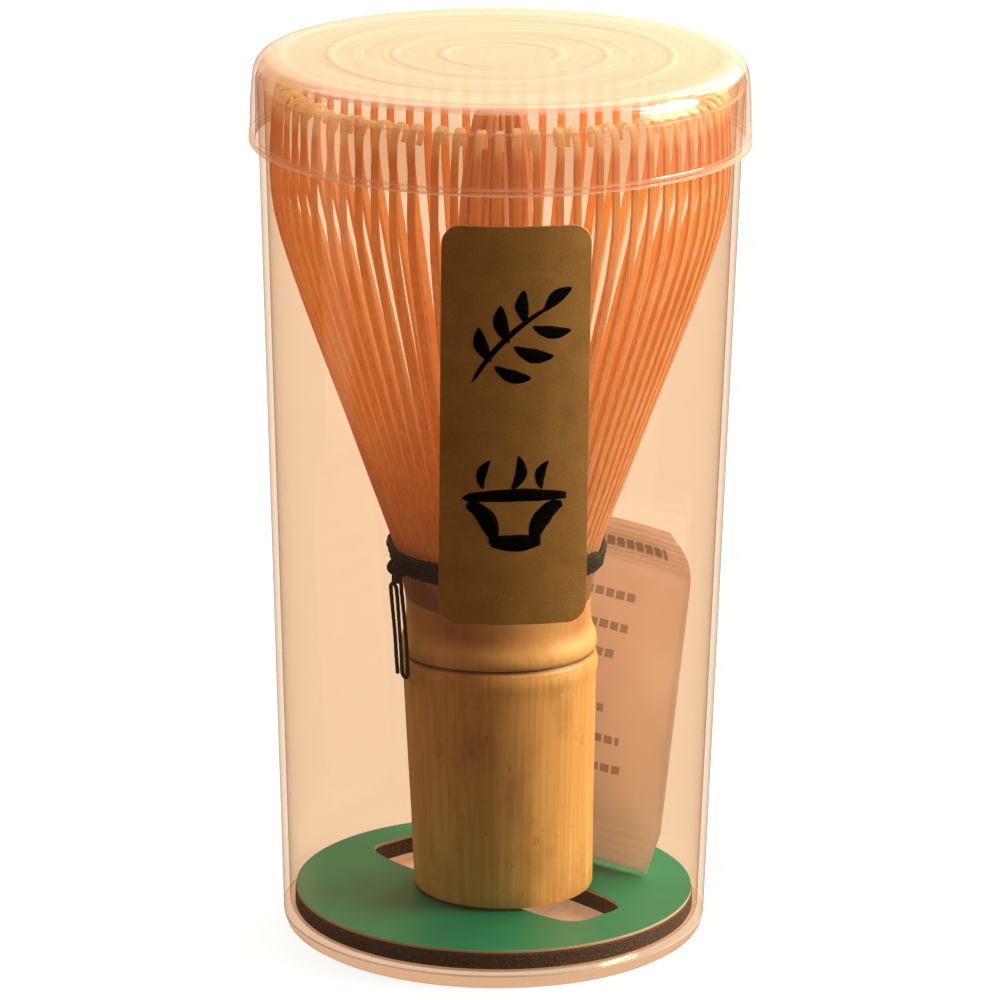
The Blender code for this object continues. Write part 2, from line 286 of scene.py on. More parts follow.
def grain(tree, vector, scale, detail=3.0, roughness=0.55):
    """Noise with a scale worked out from the size of the real grain."""
    made = add(
        tree,
        "ShaderNodeTexNoise",
        {"Vector": vector, "Scale": scale, "Detail": detail, "Roughness": roughness},
    )
    return made.outputs["Fac"]


def stretched(tree, vector, scale):
    """Coordinates scaled apart, for grain that runs one way."""
    return add(tree, "ShaderNodeMapping", {"Vector": vector, "Scale": scale}).outputs["Vector"]


def place_of(tree):
    """Object coordinates, which are metres in the row frame, and their height."""
    where = add(tree, "ShaderNodeTexCoord").outputs["Object"]
    height = add(tree, "ShaderNodeSeparateXYZ", {"Vector": where}).outputs["Z"]
    return where, height


# ---------------------------------------------------------------- materials


def clear_styrene(name, face, edge, haze_and_highlight_bands):
    """Clear moulded polystyrene with a peach cast: glassy, deeper edge on, and milky in bands of height.

    haze_and_highlight_bands holds (low, high, milkiness) bands of height in metres; faint turned streaks
    break each one up. Some bands are mould haze; the others are painted highlight and painted reflection,
    milky white where bright lines and streaks are to show.
    """
    made, tree = blank(name)
    where, height = place_of(tree)
    facing = add(tree, "ShaderNodeLayerWeight", {"Blend": 0.5}).outputs["Facing"]
    foot = maths(tree, "LESS_THAN", height, 0.0021)
    bulk = mix(tree, foot, face, srgb("F6DCC4"))
    tint = mix(tree, maths(tree, "POWER", facing, 14.0), bulk, edge)
    lamp = add(tree, "ShaderNodeLightPath").outputs["Is Shadow Ray"]
    tint = mix(tree, lamp, tint, srgb("FEFAF5"))
    pane = add(tree, "ShaderNodeBsdfTransparent", {"Color": tint}).outputs[0]
    gloss = add(tree, "ShaderNodeBsdfGlossy", {"Color": (1, 1, 1, 1), "Roughness": 0.09}).outputs[0]
    mirror = maths(tree, "MULTIPLY_ADD", maths(tree, "POWER", facing, 5.0), 0.17, 0.04)
    flat = add(tree, "ShaderNodeVectorMath", {0: where, 1: (1.0, 1.0, 0.0)}, operation="MULTIPLY")
    radius = add(tree, "ShaderNodeVectorMath", {0: flat.outputs[0]}, operation="LENGTH").outputs["Value"]
    turned = add(tree, "ShaderNodeCombineXYZ", {"X": maths(tree, "MULTIPLY", radius, 1300.0)})
    sweep = add(
        tree,
        "ShaderNodeVectorMath",
        {0: flat.outputs[0], 1: (45.0, 45.0, 0.0)},
        operation="MULTIPLY",
    )
    course = add(tree, "ShaderNodeVectorMath", {0: turned.outputs[0], 1: sweep.outputs[0]}, operation="ADD")
    streak = grain(tree, course.outputs[0], 1.0, 2.0, 0.6)
    uneven = add(
        tree,
        "ShaderNodeMapRange",
        {"Value": streak, "From Min": 0.3, "From Max": 0.7, "To Min": 0.72, "To Max": 1.12},
    ).outputs[0]
    milkiness = 0.006
    # Each band adds milky white; some stand for haze, the others are painted highlight lines.
    for low, high, strength in haze_and_highlight_bands:
        inside = maths(tree, "COMPARE", height, 0.5 * (low + high), 0.5 * (high - low))
        banded = maths(tree, "MULTIPLY", inside, uneven)
        milkiness = maths(tree, "MULTIPLY_ADD", banded, strength, milkiness)
    scatter = add(tree, "ShaderNodeBsdfDiffuse", {"Color": srgb("FFE2CC")}).outputs[0]
    through = add(tree, "ShaderNodeBsdfTranslucent", {"Color": srgb("FFE2CC")}).outputs[0]
    milk = add(tree, "ShaderNodeMixShader", {0: 0.5, 1: scatter, 2: through}).outputs[0]
    body = add(tree, "ShaderNodeMixShader", {0: milkiness, 1: pane, 2: milk}).outputs[0]
    shader = add(tree, "ShaderNodeMixShader", {0: mirror, 1: body, 2: gloss}).outputs[0]
    surface(tree, shader)
    return made


def bamboo_skin():
    """Dried bamboo culm, scraped: straw gold, with long fine fibres and brown mottling at the node, a painted
    shadow line in the node's groove and painted shade at the waist.
    """
    made, tree = blank("bamboo_culm_skin")
    where, _ = place_of(tree)
    fibre = grain(tree, stretched(tree, where, (1600.0, 1600.0, 26.0)), 1.0, 4.0, 0.6)
    streak = grain(tree, stretched(tree, where, (330.0, 330.0, 12.0)), 1.0, 3.0, 0.5)
    patch = grain(tree, stretched(tree, where, (120.0, 120.0, 70.0)), 1.0, 4.0, 0.6)
    speck = grain(tree, stretched(tree, where, (1500.0, 1500.0, 900.0)), 1.0, 2.0, 0.5)
    base = ramp(tree, streak, (0.25, srgb("E6B468")), (0.80, srgb("F2D088")))
    base = mix(tree, ramp(tree, fibre, (0.42, grey(0.28)), (0.62, grey(0.0))), base, srgb("B07A3C"))
    base = mix(tree, ramp(tree, patch, (0.50, grey(0.0)), (0.72, grey(0.5))), base, srgb("9A6231"))
    base = mix(tree, ramp(tree, speck, (0.66, grey(0.0)), (0.74, grey(0.45))), base, srgb("8A5226"))
    grown = add(tree, "ShaderNodeAttribute", attribute_name="growth_height").outputs["Fac"]
    above = ramp(tree, maths(tree, "MULTIPLY", grown, 0.01), (0.382, grey(0.0)), (0.40, grey(1.0)))
    pale = mix(tree, ramp(tree, patch, (0.35, grey(0.75)), (0.65, grey(0.15))), base, srgb("EFCB8F"))
    base = mix(tree, above, base, pale)
    # Painted shade: darker brown patches on the waist under the tines, where it stands in shadow.
    painted_waist_shade = maths(tree, "MULTIPLY", ramp(tree, patch, (0.36, grey(1.0)), (0.62, grey(0.1))), 0.75)
    waist = ramp(tree, maths(tree, "MULTIPLY", grown, 0.01), (0.41, grey(0.0)), (0.43, grey(1.0)))
    base = mix(tree, maths(tree, "MULTIPLY", painted_waist_shade, waist), base, srgb("A8683A"))
    # Painted shadow: a dark line in the node's groove.
    groove_shadow = ramp(
        tree,
        maths(tree, "MULTIPLY", grown, 0.01),
        (0.3790, grey(0.0)),
        (0.3815, grey(1.0)),
        (0.3842, grey(1.0)),
        (0.3862, grey(0.0)),
    )
    base = mix(tree, groove_shadow, base, srgb("3E1E0C"))
    relief = maths(tree, "ADD", fibre, maths(tree, "MULTIPLY", streak, 1.5))
    bump = add(tree, "ShaderNodeBump", {"Strength": 0.2, "Distance": 0.00004, "Height": relief})
    rough = add(
        tree,
        "ShaderNodeMapRange",
        {"Value": fibre, "To Min": 0.36, "To Max": 0.52},
    ).outputs[0]
    shader = add(
        tree,
        "ShaderNodeBsdfPrincipled",
        {"Base Color": base, "Roughness": rough, "IOR": 1.5, "Normal": bump.outputs[0]},
    )
    surface(tree, shader.outputs[0])
    return made


def split_bamboo(name, skin, cut, tip, tip_low, tip_high):
    """Split and shaved bamboo, thin enough to glow: gold skin side, redder cut sides, pale at the tips, and
    darker brown at the root, partly as painted shade.
    """
    made, tree = blank(name)
    where, height = place_of(tree)
    fibre = grain(tree, stretched(tree, where, (2200.0, 2200.0, 60.0)), 1.0, 3.0, 0.6)
    shade = grain(tree, stretched(tree, where, (420.0, 420.0, 18.0)), 1.0, 2.0, 0.5)
    side = add(tree, "ShaderNodeAttribute", attribute_name="cut_side").outputs["Fac"]
    base = ramp(tree, shade, (0.30, srgb(skin[0])), (0.70, srgb(skin[1])))
    base = mix(tree, ramp(tree, fibre, (0.40, grey(0.4)), (0.60, grey(0.0))), base, srgb(cut))
    base = mix(tree, maths(tree, "MULTIPLY", side, 0.5), base, srgb(cut))
    # Towards the root the tines blend into a darker brown: partly the culm's own colour, partly painted shade
    # at the waist.
    root = add(
        tree,
        "ShaderNodeMapRange",
        {"Value": height, "From Min": 0.047, "From Max": 0.055, "To Min": 0.6, "To Max": 0.0},
    ).outputs[0]
    base = mix(tree, root, base, srgb("B07440"))
    rise = add(
        tree,
        "ShaderNodeMapRange",
        {"Value": height, "From Min": tip_low, "From Max": tip_high},
        interpolation_type="SMOOTHSTEP",
    ).outputs[0]
    base = mix(tree, rise, base, srgb(tip))
    bump = add(tree, "ShaderNodeBump", {"Strength": 0.3, "Distance": 0.00004, "Height": fibre})
    shaved = add(
        tree,
        "ShaderNodeBsdfPrincipled",
        {"Base Color": base, "Roughness": 0.48, "IOR": 1.5, "Normal": bump.outputs[0]},
    ).outputs[0]
    glow = add(tree, "ShaderNodeBsdfTranslucent", {"Color": base}).outputs[0]
    surface(tree, add(tree, "ShaderNodeMixShader", {0: 0.58, 1: shaved, 2: glow}).outputs[0])
    return made


def cotton_thread():
    """Black dyed cotton thread: matt, faintly fuzzy, with fibres that catch a little brown light."""
    made, tree = blank("black_cotton_thread")
    where, _ = place_of(tree)
    fuzz = grain(tree, where, 9000.0, 3.0, 0.7)
    base = ramp(tree, fuzz, (0.35, srgb("080706")), (0.75, srgb("1C1610")))
    bump = add(tree, "ShaderNodeBump", {"Strength": 0.6, "Distance": 0.00008, "Height": fuzz})
    shader = add(
        tree,
        "ShaderNodeBsdfPrincipled",
        {
            "Base Color": base,
            "Roughness": 0.8,
            "Specular IOR Level": 0.25,
            "Sheen Weight": 0.08,
            "Normal": bump.outputs[0],
        },
    )
    surface(tree, shader.outputs[0])
    return made


def gold_label_paper():
    """Metallised gold label paper: a satin sheen broken by fine paper tooth."""
    made, tree = blank("gold_foil_paper")
    where, _ = place_of(tree)
    tooth = grain(tree, where, 5200.0, 3.0, 0.6)
    cloud = grain(tree, where, 260.0, 2.0, 0.5)
    base = ramp(tree, cloud, (0.30, srgb("BE8A44")), (0.75, srgb("D29E54")))
    base = mix(tree, ramp(tree, tooth, (0.35, grey(0.3)), (0.65, grey(0.0))), base, srgb("7A5222"))
    bump = add(tree, "ShaderNodeBump", {"Strength": 0.5, "Distance": 0.00005, "Height": tooth})
    shader = add(
        tree,
        "ShaderNodeBsdfPrincipled",
        {"Base Color": base, "Metallic": 0.55, "Roughness": 0.5, "Normal": bump.outputs[0]},
    )
    surface(tree, shader.outputs[0])
    return made


def brush_ink():
    """Black brush ink printed on the label: flat, with a trace of dry brush."""
    made, tree = blank("black_brush_ink")
    where, _ = place_of(tree)
    dry = grain(tree, where, 2600.0, 4.0, 0.7)
    base = ramp(tree, dry, (0.35, srgb("060504")), (0.80, srgb("140E08")))
    shader = add(
        tree,
        "ShaderNodeBsdfPrincipled",
        {"Base Color": base, "Roughness": 0.9, "Specular IOR Level": 0.05},
    )
    surface(tree, shader.outputs[0])
    return made


def green_card():
    """Green printed card: satin ink over pulp board whose cut edge shows pale."""
    made, tree = blank("green_printed_card")
    where, _ = place_of(tree)
    pulp = grain(tree, where, 3800.0, 3.0, 0.6)
    cloud = grain(tree, where, 90.0, 2.0, 0.5)
    edge = add(tree, "ShaderNodeAttribute", attribute_name="cut_side").outputs["Fac"]
    base = ramp(tree, cloud, (0.30, srgb("047A5C")), (0.70, srgb("088A68")))
    base = mix(tree, ramp(tree, pulp, (0.38, grey(0.25)), (0.62, grey(0.0))), base, srgb("045A40"))
    base = mix(tree, edge, base, srgb("D9C8AE"))
    bump = add(tree, "ShaderNodeBump", {"Strength": 0.3, "Distance": 0.00003, "Height": pulp})
    shader = add(
        tree,
        "ShaderNodeBsdfPrincipled",
        {"Base Color": base, "Roughness": 0.4, "Specular IOR Level": 0.4, "Normal": bump.outputs[0]},
    )
    surface(tree, shader.outputs[0])
    return made


def black_foam():
    """Black closed-cell EVA foam, die cut, so its edge shows open cells about 0.3 mm across."""
    made, tree = blank("black_eva_foam")
    where, _ = place_of(tree)
    cells = add(
        tree,
        "ShaderNodeTexVoronoi",
        {"Vector": where, "Scale": 3300.0},
        feature="F1",
    ).outputs["Distance"]
    base = ramp(tree, cells, (0.15, srgb("231A14")), (0.80, srgb("5A4636")))
    bump = add(tree, "ShaderNodeBump", {"Strength": 0.7, "Distance": 0.00012, "Height": cells})
    shader = add(
        tree,
        "ShaderNodeBsdfPrincipled",
        {"Base Color": base, "Roughness": 0.75, "Normal": bump.outputs[0]},
    )
    surface(tree, shader.outputs[0])
    return made


def sachet_paper(rows):
    """Coated sachet paper: warm white, thin enough to glow, with rows of plain printed dashes."""
    made, tree = blank("desiccant_sachet_paper")
    where, _ = place_of(tree)
    flat = add(tree, "ShaderNodeUVMap", uv_map="sheet").outputs["UV"]
    split = add(tree, "ShaderNodeSeparateXYZ", {"Vector": flat})
    across, up = split.outputs["X"], split.outputs["Y"]
    fibre = grain(tree, where, 1700.0, 4.0, 0.65)
    stain = grain(tree, where, 75.0, 3.0, 0.5)
    base = ramp(tree, stain, (0.30, srgb("EDE3E0")), (0.70, srgb("F8F3F2")))
    base = mix(tree, ramp(tree, fibre, (0.40, grey(0.2)), (0.60, grey(0.0))), base, srgb("E8DEDA"))
    inked = maths(tree, "MULTIPLY", across, 0.0)
    for middle, half_height, start, end in rows:
        row = maths(tree, "COMPARE", up, middle, half_height)
        run = maths(tree, "COMPARE", across, 0.5 * (start + end), 0.5 * (end - start))
        inked = maths(tree, "MAXIMUM", inked, maths(tree, "MULTIPLY", row, run))
    beat = maths(tree, "FRACT", maths(tree, "MULTIPLY", across, 17.0))
    inked = maths(tree, "MULTIPLY", inked, maths(tree, "GREATER_THAN", beat, 0.22))
    base = mix(tree, maths(tree, "MULTIPLY", inked, 0.55), base, srgb("5B3A2C"))
    line = maths(tree, "SINE", maths(tree, "MULTIPLY", up, 440.0))
    dot = maths(tree, "MULTIPLY", line, maths(tree, "SINE", maths(tree, "MULTIPLY", across, 300.0)))
    foot_crimp = maths(tree, "MULTIPLY", dot, maths(tree, "LESS_THAN", up, 0.105))
    head_crimp = maths(tree, "MULTIPLY", line, maths(tree, "GREATER_THAN", up, 0.885))
    pressed = maths(tree, "ADD", foot_crimp, head_crimp)
    # Painted shade: the hollows of the crimp pattern are darkened.
    crimp_hollow_shade = maths(tree, "LESS_THAN", pressed, -0.35)
    base = mix(tree, maths(tree, "MULTIPLY", crimp_hollow_shade, 0.22), base, srgb("C8B0A6"))
    relief = maths(tree, "ADD", fibre, pressed)
    bump = add(tree, "ShaderNodeBump", {"Strength": 0.6, "Distance": 0.00006, "Height": relief})
    coated = add(
        tree,
        "ShaderNodeBsdfPrincipled",
        {"Base Color": base, "Roughness": 0.5, "Normal": bump.outputs[0]},
    ).outputs[0]
    glow = add(tree, "ShaderNodeBsdfTranslucent", {"Color": base}).outputs[0]
    surface(tree, add(tree, "ShaderNodeMixShader", {0: 0.38, 1: coated, 2: glow}).outputs[0])
    return made


# ---------------------------------------------------------------- mesh helpers


def keep(name, bm, material, body, slot, *nodes, smooth=40.0):
    """A finished piece: faces outward, in metres, riding on its body in place of its CAD nodes."""
    bmesh.ops.remove_doubles(bm, verts=bm.verts[:], dist=0.0005)
    bmesh.ops.recalc_face_normals(bm, faces=bm.faces[:])
    bmesh.ops.scale(bm, vec=(MM, MM, MM), verts=bm.verts[:])
    mesh = bpy.data.meshes.new(name)
    bm.to_mesh(mesh)
    bm.free()
    mesh.polygons.foreach_set("use_smooth", [True] * len(mesh.polygons))
    mesh.set_sharp_from_angle(angle=math.radians(smooth))
    mesh.materials.append(material)
    made = bpy.data.objects.new(name, mesh)
    bpy.context.scene.collection.objects.link(made)
    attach(made, body)
    if nodes:
        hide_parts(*nodes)
    return made


def spun(points, steps):
    """A bmesh turned about Z from (radius, height) points."""
    bm = bmesh.new()
    line = [bm.verts.new((r, 0.0, z)) for r, z in points]
    edges = [bm.edges.new(pair) for pair in zip(line, line[1:])]
    bmesh.ops.spin(
        bm,
        geom=line + edges,
        cent=(0.0, 0.0, 0.0),
        axis=(0.0, 0.0, 1.0),
        angle=TURN,
        steps=steps,
        use_merge=True,
    )
    return bm


def rounded(points, radius):
    """The same (radius, height) line with each inner corner eased by about that radius."""
    steps = 4
    eased = [points[0]]
    for before, here, after in zip(points, points[1:], points[2:]):
        a, b, c = Vector(before), Vector(here), Vector(after)
        reach = min(radius, 0.45 * (a - b).length, 0.45 * (c - b).length)
        start = b + (a - b).normalized() * reach
        end = b + (c - b).normalized() * reach
        for i in range(steps + 1):
            t = i / steps
            p = start * (1 - t) ** 2 + b * 2 * t * (1 - t) + end * t * t
            eased.append((p.x, p.y))
    eased.append(points[-1])
    return eased


def tube_radius(z):
    """Outer radius of the tapered tube at a height."""
    rise = (z - TUBE_LOW[1]) / (TUBE_HIGH[1] - TUBE_LOW[1])
    return TUBE_LOW[0] + rise * (TUBE_HIGH[0] - TUBE_LOW[0])


# ---------------------------------------------------------------- case


def case_tube(material):
    """The tapered tube: recessed floor on a foot ring, thin drafted wall, eased rim."""
    points = [
        (0.0, 1.3),
        (23.7, 1.3),
        (24.25, 0.05),
        (26.55, 0.0),
        (27.75, 0.75),
        TUBE_LOW,
        TUBE_HIGH,
        (TUBE_HIGH[0] - TUBE_WALL, TUBE_HIGH[1]),
        (TUBE_LOW[0] - TUBE_WALL, 3.0),
        (TUBE_LOW[0] - TUBE_WALL - 0.5, 2.3),
        (0.0, 2.3),
    ]
    bm = spun(rounded(points, 0.35), 144)
    return keep("clear_case_tube", bm, material, "case", "clear_plastic", "case_tube")


def case_lid(material):
    """The push-on lid: three shallow moulded rings on its top, a rounded shoulder and a drafted skirt."""
    top = [(0.0, 118.38)]
    for ring in (7.4, 13.6, 22.0):
        top += [(ring - 0.5, 118.38), (ring - 0.1, 118.5), (ring + 0.5, 118.5), (ring + 0.9, 118.38)]
    top += [(27.9, 118.38), (28.5, 118.5), (29.7, 118.48)]
    shoulder = [(30.55, 118.3), (31.25, 117.9), (31.75, 117.3), (32.05, 116.5), (32.2, 115.4)]
    skirt = [(32.4, 112.5), (32.5, 108.4), (32.6, 108.1), (32.6, 107.15), (31.75, 107.15)]
    inside = [(31.75, 115.3), (31.3, 116.7), (30.4, 117.35), (28.8, 117.5), (0.0, 117.5)]
    bm = spun(rounded(top + shoulder + skirt + inside, 0.22), 144)
    return keep("clear_case_lid", bm, material, "lid", "clear_plastic", "case_lid")


def slotted_disc(name, radius, low, high, ease, material, slot, node):
    """A die-cut disc: a ring of faces from the slot's outline to the rim, given its thickness."""
    count = 192
    half_length, half_width, squareness = 0.5 * SLOT_LENGTH, 0.5 * SLOT_WIDTH, 5.0
    bm = bmesh.new()
    rim = bmesh.ops.create_circle(bm, segments=count, radius=radius)["verts"]
    cut = bmesh.ops.create_circle(bm, segments=count, radius=1.0)["verts"]
    for v in cut:
        direction = Vector((v.co.x, v.co.y)).normalized()
        reach = (
            abs(direction.x / half_length) ** squareness + abs(direction.y / half_width) ** squareness
        ) ** (-1.0 / squareness)
        v.co = Vector((direction.x * reach, direction.y * reach, 0.0))
    bmesh.ops.rotate(bm, matrix=Matrix.Rotation(SLOT_TURN, 3, "Z"), verts=cut)
    bmesh.ops.rotate(bm, matrix=Matrix.Rotation(SLOT_TURN, 3, "Z"), verts=rim)
    bmesh.ops.translate(bm, vec=(*SLOT_CENTRE, 0.0), verts=cut)
    bmesh.ops.bridge_loops(bm, edges=bm.edges[:])
    bmesh.ops.recalc_face_normals(bm, faces=bm.faces[:])
    bmesh.ops.solidify(bm, geom=bm.faces[:], thickness=high - low)
    heights = [v.co.z for v in bm.verts]
    bmesh.ops.translate(bm, vec=(0.0, 0.0, low - min(heights)), verts=bm.verts[:])
    layer = bm.faces.layers.float.new("cut_side")
    for face in bm.faces:
        face.normal_update()
        face[layer] = 1.0 if abs(face.normal.z) < 0.5 else 0.0
    made = keep(name, bm, material, "case", slot, node, smooth=30.0)
    soften(made, ease, 2)
    return made


def soften(made, width, segments):
    """A small bevel on every sharp edge."""
    bevel = made.modifiers.new("eased_edges", "BEVEL")
    bevel.width = width * MM
    bevel.segments = segments
    bevel.limit_method = "ANGLE"
    bevel.angle_limit = math.radians(35.0)
    bevel.harden_normals = False
    return bevel


# ---------------------------------------------------------------- label


def on_tube(x, z, standoff):
    """A point of a flat label, in millimetres, wrapped on the front of the tube."""
    turn = x / tube_radius(z)
    radius = tube_radius(z) + standoff
    return Vector((radius * math.sin(turn), -radius * math.cos(turn), z))


def label(material):
    """The label: a rounded rectangle cut in fine strips so that it follows the tube."""
    half_width, low, high, corner, columns, rows = 9.5, 50.7, 103.2, 2.5, 24, 12
    bm = bmesh.new()
    bmesh.ops.create_cube(bm, size=2.0)
    bmesh.ops.scale(bm, vec=(half_width, 1.0, 0.5 * (high - low)), verts=bm.verts[:])
    upright = [e for e in bm.edges if abs(e.verts[0].co.y - e.verts[1].co.y) > 1.0]
    bmesh.ops.bevel(
        bm,
        geom=upright,
        offset=corner,
        offset_type="OFFSET",
        segments=8,
        profile=0.5,
        affect="EDGES",
        material=-1,
    )
    for i in range(1, columns):
        cut_across(bm, (half_width * (2.0 * i / columns - 1.0), 0.0, 0.0), (1.0, 0.0, 0.0))
    for i in range(1, rows):
        cut_across(bm, (0.0, 0.0, 0.5 * (high - low) * (2.0 * i / rows - 1.0)), (0.0, 0.0, 1.0))
    for v in bm.verts:
        standoff = 0.12 + (0.25 if v.co.y < 0.0 else 0.0)
        v.co = on_tube(v.co.x, v.co.z + 0.5 * (high + low), standoff)
    made = keep("gold_label", bm, material, "case", "gold_label", "front_label", smooth=50.0)
    soften(made, 0.06, 2)
    return made


def cut_across(bm, point, normal):
    """A row of edges where a plane crosses the mesh."""
    everything = bm.verts[:] + bm.edges[:] + bm.faces[:]
    bmesh.ops.bisect_plane(bm, geom=everything, dist=0.0001, plane_co=point, plane_no=normal)


def brush_stroke(bm, start, end, width, bend=0.0, nib=0.35, tail=0.1):
    """One stroke of a brush on the flat label: pressed in, swelling, lifted off, slightly rough."""
    start, end = Vector(start), Vector(end)
    run = end - start
    aside = Vector((-run.y, run.x)).normalized()
    made = bmesh.ops.create_grid(bm, x_segments=16, y_segments=4, size=0.5)["verts"]
    for v in made:
        t, s = v.co.x + 0.5, v.co.y * 2.0
        swell = nib + (1.0 - nib) * math.sin(math.pi * min(t / 0.55, 1.0) / 2.0)
        fade = tail + (1.0 - tail) * math.sin(math.pi * min((1.0 - t) / 0.5, 1.0) / 2.0) ** 0.8
        cap = math.sqrt(max(0.0, 1.0 - max(0.0, 1.0 - t / 0.08) ** 2)) if t < 0.08 else 1.0
        rough = 1.0 + 0.10 * noise.noise(Vector((start.x + t * 6.0, start.y, s * 0.4)))
        half = 0.5 * width * swell * fade * max(cap, 0.15) * rough
        curve = bend * run.length * 4.0 * t * (1.0 - t)
        p = start + run * t + aside * (curve + s * half)
        v.co = Vector((p.x, 0.0, p.y))


def ink_motif(name, strokes, centre, material):
    """Brush strokes laid on the label as a thin film of ink."""
    bm = bmesh.new()
    for stroke in strokes:
        brush_stroke(bm, *stroke)
    for v in bm.verts:
        v.co = on_tube(v.co.x + centre[0], v.co.z + centre[1], 0.375)
    made = keep(name, bm, material, "case", "gold_label", smooth=60.0)
    film = made.modifiers.new("ink_film", "SOLIDIFY")
    film.thickness = 0.02 * MM
    film.offset = 1.0
    return made


LEAF_SPRAY = (
    ((-5.8, -5.8), (3.6, 4.0), 0.75, 0.07, 0.6, 0.5),
    ((-3.4, -3.0), (-5.0, 1.4), 1.8, 0.10, 0.2, 0.15),
    ((-3.0, -3.6), (1.6, -5.2), 1.8, -0.10, 0.2, 0.15),
    ((-1.2, -0.5), (-2.3, 4.3), 1.9, 0.10, 0.2, 0.15),
    ((-0.6, -1.0), (4.4, -2.4), 1.9, -0.10, 0.2, 0.15),
    ((1.0, 2.0), (0.6, 6.3), 1.7, 0.10, 0.2, 0.15),
    ((1.7, 1.6), (6.6, 0.9), 1.7, -0.10, 0.2, 0.15),
    ((3.2, 3.6), (6.6, 6.5), 1.7, 0.08, 0.2, 0.15),
)

BOWL_AND_STEAM = (
    ((-6.6, 0.9), (6.6, 1.2), 1.7, 0.03, 0.6, 0.5),
    ((-5.8, 0.4), (-2.4, -4.6), 2.3, 0.12, 0.6, 0.45),
    ((5.9, 0.5), (2.4, -4.6), 2.3, -0.12, 0.6, 0.45),
    ((-3.2, -4.7), (3.4, -4.7), 2.2, -0.04, 0.6, 0.5),
    ((-4.0, 2.2), (-3.1, 6.0), 1.3, 0.16, 0.35, 0.15),
    ((-0.3, 2.2), (0.5, 6.6), 1.5, -0.16, 0.35, 0.15),
    ((3.4, 2.2), (4.2, 5.9), 1.3, 0.16, 0.35, 0.15),
)


# ---------------------------------------------------------------- sachet


# Greeked print: middle and half height up the packet, start and end across it
PRINTED_ROWS = (
    (0.935, 0.014, 0.16, 0.86),
    (0.79, 0.012, 0.20, 0.72),
    (0.70, 0.012, 0.26, 0.70),
    (0.62, 0.012, 0.22, 0.66),
    (0.46, 0.012, 0.30, 0.64),
    (0.37, 0.012, 0.18, 0.74),
    (0.285, 0.012, 0.24, 0.76),
)


def crease(x, z):
    """Soft dents and folds of a handled paper packet, in millimetres."""
    wave = 0.42 * noise.noise(Vector((x * 0.13, z * 0.10, 3.7)))
    wave += 0.26 * noise.noise(Vector((x * 0.30 + z * 0.16, z * 0.12, 8.1)))
    ridge = 1.0 - abs(noise.noise(Vector((x * 0.10 - z * 0.05, z * 0.09, 15.4))) * 5.0)
    return wave + 0.32 * max(0.0, ridge)


def sachet(material):
    """The desiccant packet: crimped flat at both ends, swollen between, leaning back on the round wall."""
    low, high, foot_distance, head_distance = 5.6, 50.7, 15.1, 25.0
    half_width, foot_half_width, fill, edge, curl = 15.7, 14.2, 1.75, 0.22, 0.0096
    facing = math.radians(46.5)
    outward = Vector((math.cos(facing), math.sin(facing), 0.0))
    along = Vector((math.sin(facing), -math.cos(facing), 0.0))
    bm = bmesh.new()
    bmesh.ops.create_grid(bm, x_segments=64, y_segments=120, size=0.5)
    sheet_uv = bm.loops.layers.uv.new("sheet")
    for face in bm.faces:
        for loop in face.loops:
            loop[sheet_uv].uv = (loop.vert.co.x + 0.5, loop.vert.co.y + 0.5)
    far = bmesh.ops.duplicate(bm, geom=bm.verts[:] + bm.edges[:] + bm.faces[:])["geom"]
    far_side = {g for g in far if isinstance(g, bmesh.types.BMVert)}
    for v in bm.verts:
        across, up = 2.0 * v.co.x, v.co.y + 0.5
        widening = min(up / 0.13, 1.0)
        half = foot_half_width + widening * (half_width - foot_half_width)
        rounding = 1.0 - 0.34 * max(0.0, (up - 0.86) / 0.14) ** 2.6
        t = across * half * rounding
        belly = max(0.0, math.sin(math.pi * (up - 0.12) / 0.76)) if 0.12 < up < 0.88 else 0.0
        rim = abs(across) > 0.9999 or up < 0.0001 or up > 0.9999
        swell = 0.0 if rim else edge + fill * belly**0.6 * max(0.0, 1.0 - across * across) ** 0.6
        crimp = 1.0 if up < 0.105 or up > 0.885 else 0.0
        ribs = 0.11 * crimp * math.sin(up * 46.0 * TURN / 1.25) * (0.0 if rim else 1.0)
        height = low + (high - low) * up
        fold = 0.0 if rim else crease(t, height) * (0.35 + 0.65 * belly) * (1.0 - abs(across) ** 8)
        distance = foot_distance + (head_distance - foot_distance) * up - curl * up * t * t
        side = 1.0 if v in far_side else -1.0
        v.co = (
            outward * (distance + side * (swell + fold * 0.9) + ribs)
            + along * t
            + Vector((0.0, 0.0, height))
        )
    made = keep("desiccant_packet", bm, material, "sachet", "sachet_paper", "desiccant_sachet", smooth=60.0)
    return made


# ---------------------------------------------------------------- whisk


